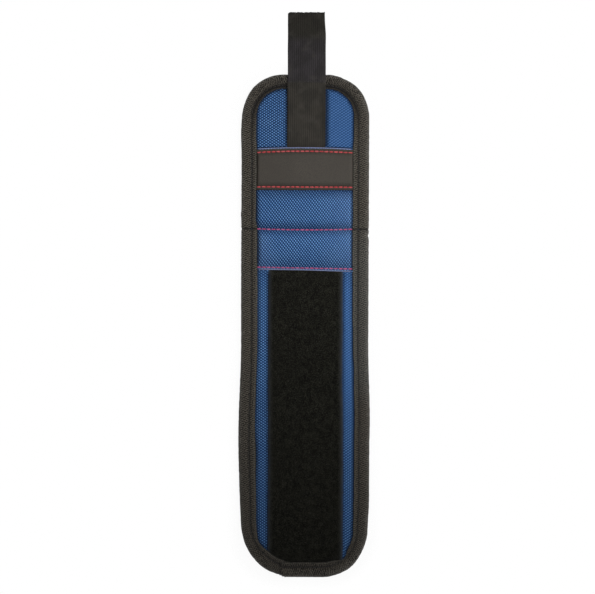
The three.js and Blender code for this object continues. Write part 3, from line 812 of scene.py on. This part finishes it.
def side_run(hand, low, high):
    """The edge along one side of the band, from high to low, finer at the pinched seam."""
    y = spaced(high, low, RUN_PITCH)
    if low < SEAMS[2] < high:
        y = np.unique(np.concatenate([y, SEAMS[2] + np.linspace(-2.4, 2.4, 25)]))[::-1]
    edge = np.stack([hand * side(y, hand), y], -1)
    return edge, np.repeat([[-hand, 0.0]], len(y), 0)


def corner_run(hand, end, first, last):
    """A rounded corner of the tab end (0) or the plain end (1) between two angles, in degrees."""
    radius, centre, _ = corners(hand)[end]
    turn = np.radians(spaced(first, last, RUN_PITCH / (radius * 0.0175)))  # 0.0175 radians to a degree
    out = np.stack([hand * np.cos(turn), np.sin(turn)], -1)
    middle = np.array([hand * (float(side(centre, hand)) - radius), centre])
    return middle + radius * out, -out


def end_run(y, first, last):
    """The straight edge of an end of the band."""
    x = spaced(first, last, RUN_PITCH)
    return np.stack([x, np.full(len(x), y)], -1), np.repeat([[0.0, -math.copysign(1, y)]], len(x), 0)


def gone_along(line):
    """How far along a line each of its points lies."""
    return np.concatenate([[0], np.cumsum(np.linalg.norm(np.diff(line, axis=0), axis=1))])


def joined(runs, start):
    """Runs of the edge one after another, with how far along the tape each point lies."""
    edge, inward = (np.concatenate([runs[0][part][:1]] + [run[part][1:] for run in runs]) for part in (0, 1))
    gone = gone_along(edge)
    turning = np.linalg.norm(np.gradient(inward, gone, axis=0), axis=1) * TAB_RADIUS
    gather = np.convolve(np.pad(np.clip(turning, 0, 1), 9, "edge"), np.ones(19) / 19, "valid")
    nothing = np.zeros(len(edge))
    y = edge[:, 1]
    on_label = smooth((y - LABEL_LAST + 1) / 1.5) * smooth((PANEL_FIRST + 0.1 - y) / 1.5)
    return Run(edge, inward, start + gone, gather, 0.45 * on_label, nothing, nothing)


def off_round(x, y):
    """How far the sewn edge lies in from a true arc at the four corners."""
    left = 0.7 * near(y, 128, 9) + 0.65 * near(y, -157, 13) - 0.4 * near(x, -27, 6) * (y < -170)
    right = 0.27 * near(y, 128, 7) + 0.45 * near(x, 27, 6) * (y > 118)
    right = right + 0.5 * near(y, -170, 9) - 0.35 * near(x, 31, 5) * (y < -170)
    return np.where(x < 0, left, right)


def tape_surface(run):
    """Outer and inner surface of the folded tape along a run, and its place on the flat tape."""
    x, y = run.edge[:, :1], run.edge[:, 1:]
    gather, sunk, trimmed = run.gather[:, None], run.sunk[:, None], run.trimmed[:, None]
    deep, high = (np.repeat(SECTION[None, :, axis], len(x), 0) for axis in (0, 1))
    along = np.repeat(run.along[:, None], len(SECTION), 1)
    upper = np.where(np.arange(len(SECTION)) < len(HALF_SECTION), 1.0, -1.0) + 0 * along
    flange = smooth((deep - SEAM_DEPTH) / 2.5)
    crease = uneven(along, upper * 3, 2.3, 14)
    sway = uneven(along, upper * 3, 8, 15)

    # The seam, the width beyond it, and the unevenness of sewn cloth
    width = bound_width(run.inward[:, None], x, y, upper > 0)
    seam = SEAM_DEPTH + 0.6 * smooth(np.abs(run.inward[:, 1:]) / 0.5) * (y > 0)
    inner = (width - seam) / (BINDING_WIDTH - SEAM_DEPTH)
    deep = np.where(deep > SEAM_DEPTH, seam + (deep - SEAM_DEPTH) * inner, deep * seam / SEAM_DEPTH)
    deep = deep + flange * (0.22 * sway + 0.3 * gather * crease) * np.minimum(inner, 1)
    body = smooth(deep / 3) * upper
    high = high + body * (0.07 * sway + 0.06 * crease + gather * 0.22 * crease * smooth(deep / 7))
    high = high + body * 0.07 * np.cos(2 * math.pi * along / BINDING_PITCH) * near(deep, SEAM_DEPTH, 1.3)
    twill = uneven(along, deep, 1.2, 22) + 0.5 * uneven(along, deep, 0.7, 23)
    deep = deep - (0.08 * twill + 0.12 * uneven(along, 0 * deep, 2.6, 24)) * smooth(1.6 - deep / 2.5)
    high = high + body * 0.06 * twill

    # Where the third red seam pinches it, and where it bulges, is notched, lifted, sunk or trimmed
    onside = np.abs(run.inward[:, :1]) > 0.99
    pinch = near(y, SEAMS[2], 0.85) * onside
    bulge = near(y, 53.5, 2.2) * (x < 0) * onside
    notch = near(y, 39.4, 1.2) * (x > 0) * onside
    drawn_in = 0.35 * pinch - 0.28 * bulge + 0.5 * notch + off_round(x, y)
    deep = deep + drawn_in * smooth(1.5 - deep / 4)
    high = FOLD_HIGH + (high - FOLD_HIGH) * (1 - 0.4 * pinch * (1 - 0.85 * flange))
    high = high + run.lift[:, None] * smooth((deep - 5.5) / 3) * (upper > 0)
    high = FOLD_HIGH + (high - FOLD_HIGH) * (1 - 0.2 * sunk + 0.05 * (trimmed > 0))
    deep = deep + 0.5 * sunk + trimmed * smooth(1.3 - deep / 6)
    high = np.maximum(high, 0.0)
    slope = np.stack([np.gradient(deep, axis=1), np.gradient(high, axis=1)], -1)
    slope /= np.linalg.norm(slope, axis=2, keepdims=True)
    in_deep, in_high = deep - slope[..., 1] * TAPE_T, high + slope[..., 0] * TAPE_T
    surfaces = []
    for inset, level in ((deep, high), (in_deep, in_high)):
        flat = run.edge[:, None] + run.inward[:, None] * inset[..., None]
        surfaces.append(np.concatenate([flat, level[..., None]], -1))
    width = np.cumsum(np.hypot(*np.diff(SECTION, axis=0, prepend=SECTION[:1]).T))
    width = width - width[len(HALF_SECTION) - 1]  # from the fold
    pinched = near(y, SEAMS[2], 0.7) * onside
    end_shade = 1 - np.abs(run.inward[:, :1])  # the two round ends, which get painted shade
    rest = placed(width + 0 * along, along, pinched - end_shade + 0 * along)
    return *surfaces, rest


tape, place = finish("dark_binding_tape", specular=0.1, sheen=0.18)
across, along, pinched = place.parts()
from_fold = abs(across)
twill = (along + across * 0.35).wave(1.42) * 0.6 + (along - across * 0.8).wave(1.7) * 0.4
fuzz = place.speckle(0.9, 3.0)
grain = place.speckle(0.65, 1.0).step(0.36, 0.64)
rub = place.speckle(6.0)
woven = twill * (0.25 + fuzz * 0.5) + 0.5
tone = (woven * 0.6 + grain * 0.4).step(0.25, 0.79)
# Paler towards the fold: partly wear and partly painted light on the roll's outer side.
wear_and_painted_light = from_fold.fall(1.6, 5.2) * (rub.step(0.42, 0.7) * 0.45 + 0.3)
low_corner_light = along.step(-212, -196) * along.fall(-166, -152)  # at the right, where the rim gets painted light
wear_and_painted_light = wear_and_painted_light + low_corner_light * from_fold.fall(3.5, 7.5) * 0.28
plain = tone.mix((6, 5, 4), (90, 85, 77))
base = wear_and_painted_light.mix(plain, tone.mix((24, 23, 21), (122, 117, 110)))
# Painted shade in the sunk stitched line, at the inner edge, in the pinched crease and at the lap's cut end.
sewn = abs(from_fold - 8.6).fall(0.2, 1.0)
painted_shade = (sewn * 0.7 + from_fold.step(11.5, 11.95) * 0.85).most(pinched * 0.85)
# Painted shade over the tab end and in the groove by its inner edge, over the plain end and down the left
# side.
at_tab_end = along.step(100, 130) * along.fall(225, 255)
on_end = (pinched * -1).most(0.0)
groove = abs(from_fold - 9.2).fall(0.5, 2.0)
tab_end_shade = (from_fold.step(5.4, 9.0) * 0.42 + groove * 0.46 + on_end * 0.2) * at_tab_end
end_shade = on_end * (1 - at_tab_end) * (from_fold.step(5.5, 9.5) * 0.3 + 0.02)
left_side_shade = along.step(225, 265) * 0.07 + along.step(400, 440) * 0.05
base = (tab_end_shade + end_shade + left_side_shade).mix(base, (14, 12, 11))
# A painted highlight along the inner edge, away from the tab end.
selvedge_highlight = from_fold.step(10.4, 11.0) * (1 - at_tab_end) * 0.12
base = selvedge_highlight.mix(base, (112, 112, 104))
cool_light_right = along.step(-80, -50) * along.fall(20, 60) * 0.1  # painted cool light half-way down the right-hand side
base = cool_light_right.mix(base, (95, 106, 110))
# Painted shade at the cut end of the lap, broken by the grain.
cut_end = along.fall(-233.3, -232.2)
painted_shade = painted_shade.most(cut_end * (1 - grain * 0.4))
dress(tape, painted_shade.mix(base, (14, 12, 11)), 0.8 - wear_and_painted_light * 0.1, woven + fuzz * 0.6, 0.25)

dark, _, kind, twist = sewing_thread("dark_sewing_thread", specular=0.15, sheen=0.1)
tint = (kind * 0.6 + twist * 0.2 + 0.2).mix((20, 19, 18), (52, 50, 47))
dress(dark, tint, 0.6 + twist * 0.05, twist, 0.05)


def over_pile(x):
    """How far the loop pile lifts the binding of the plain end."""
    return 0.55 * smooth((25.5 - np.abs(x - 1.2)) / 3)


top_corner = TAB_END - TAB_RADIUS
flat_right, flat_left = (float(hand * (side(top_corner, hand) - TAB_RADIUS)) for hand in (1, -1))
round_tab_end = joined(
    [
        tuple(part[::-1] for part in side_run(1, SPANS[0].low, top_corner)),
        corner_run(1, 0, 0, 90),
        end_run(TAB_END, flat_right, flat_left),
        corner_run(-1, 0, 90, 0),
        side_run(-1, SPANS[0].low, top_corner),
    ],
    SPANS[0].low,
)
left_start = round_tab_end.along[-1]
low_right, low_left = PLAIN_END + PLAIN_RADIUS[1], PLAIN_END + PLAIN_RADIUS[-1]
last = SPANS[-1].high
right_end = joined(
    [
        side_run(1, low_right, last),
        corner_run(1, 1, 0, -90),
        end_run(PLAIN_END, float(side(low_right, 1)) - PLAIN_RADIUS[1], LAP_AT),
    ],
    0.0,
)
right_end = right_end._replace(along=last - right_end.along)
x, at_end = right_end.edge[:, 0], right_end.edge[:, 1] < -180
near_lap = np.clip((LAP_AT + 3.2 - x) / 3.2, 0, 1)
frayed = 0.42 * np.cos(2 * math.pi * (x - LAP_AT - 3.9) / 1.8) * smooth((LAP_AT + 4.9 - x) / 1.2)
right_end = right_end._replace(lift=over_pile(x) * at_end, trimmed=(1.5 * near_lap - frayed) * at_end)
left_end = joined(
    [side_run(-1, low_left, last), corner_run(-1, 1, 0, -86)],
    left_start + SPANS[0].low - last,
)
x, at_end = left_end.edge[:, 0], left_end.edge[:, 1] < -170
under_lap = smooth((x - LAP_AT + 1.2) / 1.6) * at_end
left_end = left_end._replace(lift=over_pile(x) * at_end * (1 - under_lap), sunk=under_lap)

for span in SPANS:
    if span.number == 1:
        runs = [("binding_tab_end_edge", round_tab_end)]
    elif span.number == 8:
        runs = [("binding_plain_end_right", right_end), ("binding_plain_end_left", left_end)]
    else:
        right = joined([side_run(1, span.low, span.high)], 0.0)
        right = right._replace(along=span.high - right.along, gather=0 * right.gather)
        left = joined([side_run(-1, span.low, span.high)], left_start + SPANS[0].low - span.high)
        left = left._replace(gather=0 * left.gather)
        runs = [(f"binding_right_{span.number}", right), (f"binding_left_{span.number}", left)]
    for name, run in runs:
        outer, inner, rest = tape_surface(run)
        flipped = span.number > 1 and "left" not in name
        edge = layer(name, tape, outer, inner, rest, flip=flipped, sharp=60)
        bend(edge, span)
        stood = []
        for bay in (span.above, span.below):
            if bay in ("tab_end", "plain_end"):
                stood.append(f"binding_{bay}")
            else:
                stood += [f"binding_{s}_{bay}" for s in ("right", "left") if span.number == 1 or s in name]
        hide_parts(*stood)
        cut = (float(np.ptp(rest[0, :, 0])) * MM, float(np.ptp(run.along)) * MM)

        # Its stitches, above and below
        for word, column, up in (("over", 7, 1), ("under", len(SECTION) - 8, -1)):
            line = outer[:, column] + np.array([0, 0, 0.1 * up])
            gone = gone_along(line)
            starts = np.arange(0.4, gone[-1] - BINDING_STITCH - 0.1, BINDING_PITCH)
            first, second = (
                placed(*(np.interp(at, gone, line[:, axis]) for axis in range(3)))
                for at in (starts, starts + BINDING_STITCH)
            )
            seam = stitches(f"{name}_{word}stitch", dark, first, second, DARK_THREAD, up, 31 + span.number)
            bend(seam, span)

# Pull tab
# Ribbed black webbing. Its tail is caught under the panel's folded edge, a row of stitches holds it
# on the binding, and its free end is cut with a hot knife, which leaves a rough melted edge.
TAB_LEFT, TAB_RIGHT = -11.75, 13.55
TIP = 188.15
TAB_TAIL, TAB_SPLIT = 94.6, 149.0
TAB_T = 1.3
RIB_PITCH = 1.265
TAB_BEND, TAB_AXIS = (151.35, 159.35), 5.8  # where its free end bends, and the height of the hinge
TAB_SEAM, TAB_STITCH_PITCH, TAB_STITCH = 141.4, 2.4, 1.75
TAB_THREAD = 0.28  # radius


def bend_tab(piece):
    """Bakes a piece of the free end's placement into its points. The piece doesn't bend with the tab."""
    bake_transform(piece)


def tab_bottom(x, y):
    """Under the webbing: along the face, up over the binding and straight out beyond it."""
    climb = smooth((y - 131.5) / 5.5)
    lying = 3.28 + 0.77 * smooth((y - 97.0) / 5)
    curl = 0.35 * smooth((x - 8.5) / 5) * smooth((y - 103) / 8) * smooth((134 - y) / 6)
    return lying + (5.12 - lying) * climb + curl


def tab_top(x, y):
    """The ribbed top of the webbing, thin under the panel and pressed in along its stitches."""
    full = 0.62 + (TAB_T - 0.62) * smooth((y - 97.5) / 5)
    rib = 0.07 * np.cos(2 * math.pi * (x - TAB_LEFT) / RIB_PITCH)
    edge = np.minimum(x - TAB_LEFT, TAB_RIGHT - x)
    rounded = 0.3 * (1 - np.sqrt(np.clip(edge / 0.7, 0, 1)))
    fade = smooth((y - 100) / 4)
    swell = 0.06 * uneven(x, y, 9, 16) * fade
    return tab_bottom(x, y) + full + (rib + swell - rounded) * fade - 0.3 * near(y, TAB_SEAM, 0.7)


def tab_end_at(x):
    """The hot-cut end: ragged, with a rounded left corner and a spur at the right."""
    cut = 0.28 * uneven(x, x * 0, 1.7, 17) + 0.14 * uneven(x, x * 0, 0.7, 18)
    end = TIP - 0.35 + cut - 0.8 * smooth((TAB_LEFT + 1.3 - x) / 1.3)
    return end + 0.3 * smooth((x - TAB_RIGHT + 0.9) / 0.6)


webbing, place = finish("black_ribbed_webbing", specular=0.08, sheen=0.1)
across, along, _ = place.parts()
rib = (across - TAB_LEFT).wave(RIB_PITCH)
picks = along.wave(0.62)
fuzz = place.speckle(0.5, 3.0)
rub = place.speckle(7.0)
ground = along.step(TAB_SEAM - 1, TAB_SEAM + 1).mix((60, 57, 52), (58, 55, 57))
ground = along.step(166, 174).mix(ground, (46, 44, 39))
ground = (place.speckle(8.0).step(0.38, 0.62) * 0.35).mix(ground, (30, 29, 27))
raised = (rib * 0.4 + picks * 0.15 + fuzz * 0.7).step(0.1, 0.9)
# Painted shade between the ribs.
valley_shade = ground.node("Mix", {0: 0.45, 6: ground, 7: colour(22, 21, 20)}, out=2, data_type="RGBA")
base = raised.mix(valley_shade, ground)
base = (rub.step(0.5, 0.75) * 0.3).mix(base, (70, 67, 62))
turned_up_shade = across.step(TAB_RIGHT - 3.4, TAB_RIGHT - 1.0) * along.fall(TAB_SEAM - 4, TAB_SEAM) * 0.4
base = turned_up_shade.mix(base, (30, 29, 27))  # painted shade on the right-hand edge, which turns up from the cloth
melted = along.step(186.7, 187.5)
relief = rib * 0.3 + picks * 0.3 + fuzz * 0.5
dress(webbing, melted.mix(base, (16, 15, 14)), 0.8 - melted * 0.35, relief, 0.1)

ribs = round((TAB_RIGHT - TAB_LEFT) / RIB_PITCH)
columns = np.linspace(TAB_LEFT, TAB_RIGHT, ribs * 6 + 1)
for name, low, high in (("tab_webbing_lower", TAB_TAIL, TAB_SPLIT), ("tab_webbing_upper", TAB_SPLIT, TIP)):
    x, share = np.meshgrid(columns, spaced(0, 1, 0.9 / (high - low)))
    y = low + ((tab_end_at(x) if high == TIP else high) - low) * share
    sway = 0.1 * uneven(y, y * 0, 12, 19) - 0.03 * (x - TAB_LEFT) * smooth((y - 171) / 16)
    top, bottom = (placed(x + sway, y, z) for z in (tab_top(x, y), tab_bottom(x, y)))
    strap = layer(name, webbing, top, bottom, sharp=60)
    if name == "tab_webbing_lower":
        bend(strap, SPANS[0])
        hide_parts("tab_webbing_sewn")
    else:
        bend_tab(strap)
        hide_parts("tab_webbing_free", "tab_webbing_sewn")
    (high - low) * MM

starts = np.arange(TAB_LEFT + 0.6, TAB_RIGHT - 1.9, TAB_STITCH_PITCH)
pair = []
for x in (starts, starts + TAB_STITCH):
    y = TAB_SEAM + 0.06 * uneven(x, x * 0, 3, 21)
    pair.append(placed(x, y, tab_top(x, y) + 0.08))
tab_seam = stitches("tab_seam", dark, *pair, TAB_THREAD, 1, 41)
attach(tab_seam, "tab_end")

# Hook patch
# A moulded nylon hook tape, welded under the free end of the tab.
# Rows of small bent hooks stand on a thin backing and face the loop pile when the band is closed.
BACKING_T = 0.4
HOOK_PITCH = 1.5
hook_low, hook_high = (np.array(corner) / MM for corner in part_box("tab_hook_patch"))
first_hook = max(hook_low[1] + 0.9, TAB_BEND[1] + 0.4)
nylon, place = finish("black_hook_nylon", specular=0.2)
grain = place.speckle(0.6, 3.0)
dress(nylon, grain.mix((17, 17, 17), (34, 34, 33)), 0.5 + grain * 0.2, grain, 0.03)

drawn_nylon, place = finish("hook_stems", specular=0.3)
gone, _, _ = place.parts()
tip = gone.step(0.2, 0.8)
dress(drawn_nylon, tip.mix((20, 20, 20), (74, 73, 71)), 0.5 - tip * 0.1, gone.wave(0.2), 0.01)

columns = np.linspace(hook_low[0], hook_high[0], 20)
rows = np.linspace(hook_low[1], hook_high[1], 24)
x, y = np.meshgrid(columns, rows)
z = tab_bottom(x, y) - 0.03
ridges = 0.05 * np.cos(2 * math.pi * x / HOOK_PITCH)
backing = layer("hook_backing", nylon, placed(x, y, z), placed(x, y, z - BACKING_T - ridges))
columns = np.arange(hook_low[0] + 0.9, hook_high[0] - 0.5, HOOK_PITCH)
rows = np.arange(first_hook, hook_high[1] - 0.5, HOOK_PITCH)
x, y = (part.reshape(-1, 1) for part in np.meshgrid(columns, rows))
way = np.where(np.round((x - hook_low[0]) / HOOK_PITCH) % 2 > 0.5, 1.0, -1.0)
bent = np.array([(0, 0.0), (0, 0.18), (0.03, 0.36), (0.14, 0.48), (0.3, 0.49), (0.38, 0.4)])
foot = tab_bottom(x, y) - BACKING_T - 0.05
stems = placed(x + 0 * bent[:, 0], y + way * bent[:, 0], np.maximum(foot - bent[:, 1], 4.02))
hooks = tubes("hook_rows", drawn_nylon, stems, np.array([0.2, 0.15, 0.13, 0.12, 0.11, 0.08]), 6)
for piece in (backing, hooks):
    bend_tab(piece)
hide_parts("tab_hook_patch")

# Studio
# A pale floor that shows only the shadow beside the band, a white surround and soft lights from above.
# The camera looks straight down on the opened-out band, as the photograph does.
FLOOR_SHARE = 0.05
CORE_X, CORE_Y, CORE_MIDDLE = 0.0143, 0.1397, -0.0209  # a box within the band's outline, in metres
AIM = Vector((0.02, 0.045, 0.0))
LENS, SENSOR, FRAME_WIDTH, LEAN = 100.0, 36.0, 396.67, math.radians(0.27)
VIEW_X, VIEW_Y, FACE_LEVEL = -4.525, -1.654, 4

bpy.ops.mesh.primitive_plane_add(size=6, location=(0, 0, -0.0002))
floor = bpy.context.object
floor.name = "floor"
ground = bpy.data.materials.new("pale_floor")
ground.use_nodes = True
tree = ground.node_tree
tree.nodes.clear()
paper = Socket(tree, None).node("BsdfDiffuse", {"Color": (0.97, 0.97, 0.965, 1.0)})
clear = paper.node("BsdfTransparent")
x, y, _ = paper.node("TexCoord", out=3).parts()
beyond_x, beyond_y = (abs(x) - CORE_X).most(0.0), (abs(y - CORE_MIDDLE) - CORE_Y).most(0.0)
beyond = (beyond_x * beyond_x + beyond_y * beyond_y).math("SQRT")
beside = beyond.step(0.021, 0.025) * beyond.fall(0.029, 0.038)
from_below = paper.node("NewGeometry", out=6)
both = paper.node("MixShader", {0: beside * (1 - from_below) * FLOOR_SHARE, 1: clear, 2: paper})
both.node("OutputMaterial", {"Surface": both})
floor.data.materials.append(ground)

world = bpy.data.worlds.new("studio")
bpy.context.scene.world = world
world.use_nodes = True
tree = world.node_tree
tree.nodes.clear()
seen = Socket(tree, None).node("LightPath")
mirrored, passed = seen.node("LightPath", out=3), seen.node("LightPath", out=6)
backdrop = (seen + mirrored + passed).math("MINIMUM", 1.0)
_, _, up = seen.node("TexCoord").parts()
below, above, white = (
    seen.node("Background", {"Color": (tone, tone, tone, 1.0), "Strength": strength})
    for tone, strength in ((0.99, 0.9), (0.99, 0.12), (1.0, 1.0))
)
soft = seen.node("MixShader", {0: up.step(-0.1, 0.25), 1: below, 2: above})
both = seen.node("MixShader", {0: backdrop, 1: soft, 2: white})
both.node("OutputWorld", {"Surface": both})

for name, spot, size, power, beam in (
    ("key", (0.24, 0.14, 0.5), 0.22, 0.49, 68),
    ("fill", (-0.4, 0.2, 0.8), 0.6, 0.2, 180),
):
    lamp = bpy.data.lights.new(name, "AREA")
    lamp.size, lamp.energy, lamp.spread = size, power, math.radians(beam)
    lamp_object = bpy.data.objects.new(name, lamp)
    lamp_object.location = spot
    lamp_object.rotation_euler = (AIM - Vector(spot)).to_track_quat("-Z", "Y").to_euler()
    bpy.context.scene.collection.objects.link(lamp_object)

camera = bpy.data.objects.new("camera", bpy.data.cameras.new("camera"))
camera.data.lens, camera.data.sensor_width = LENS, SENSOR
camera.location = (VIEW_X * MM, VIEW_Y * MM, (FRAME_WIDTH * LENS / SENSOR + FACE_LEVEL) * MM)
camera.rotation_euler = (0, 0, LEAN)
bpy.context.scene.collection.objects.link(camera)
bpy.context.scene.camera = camera
bpy.context.scene.view_settings.view_transform = "Standard"
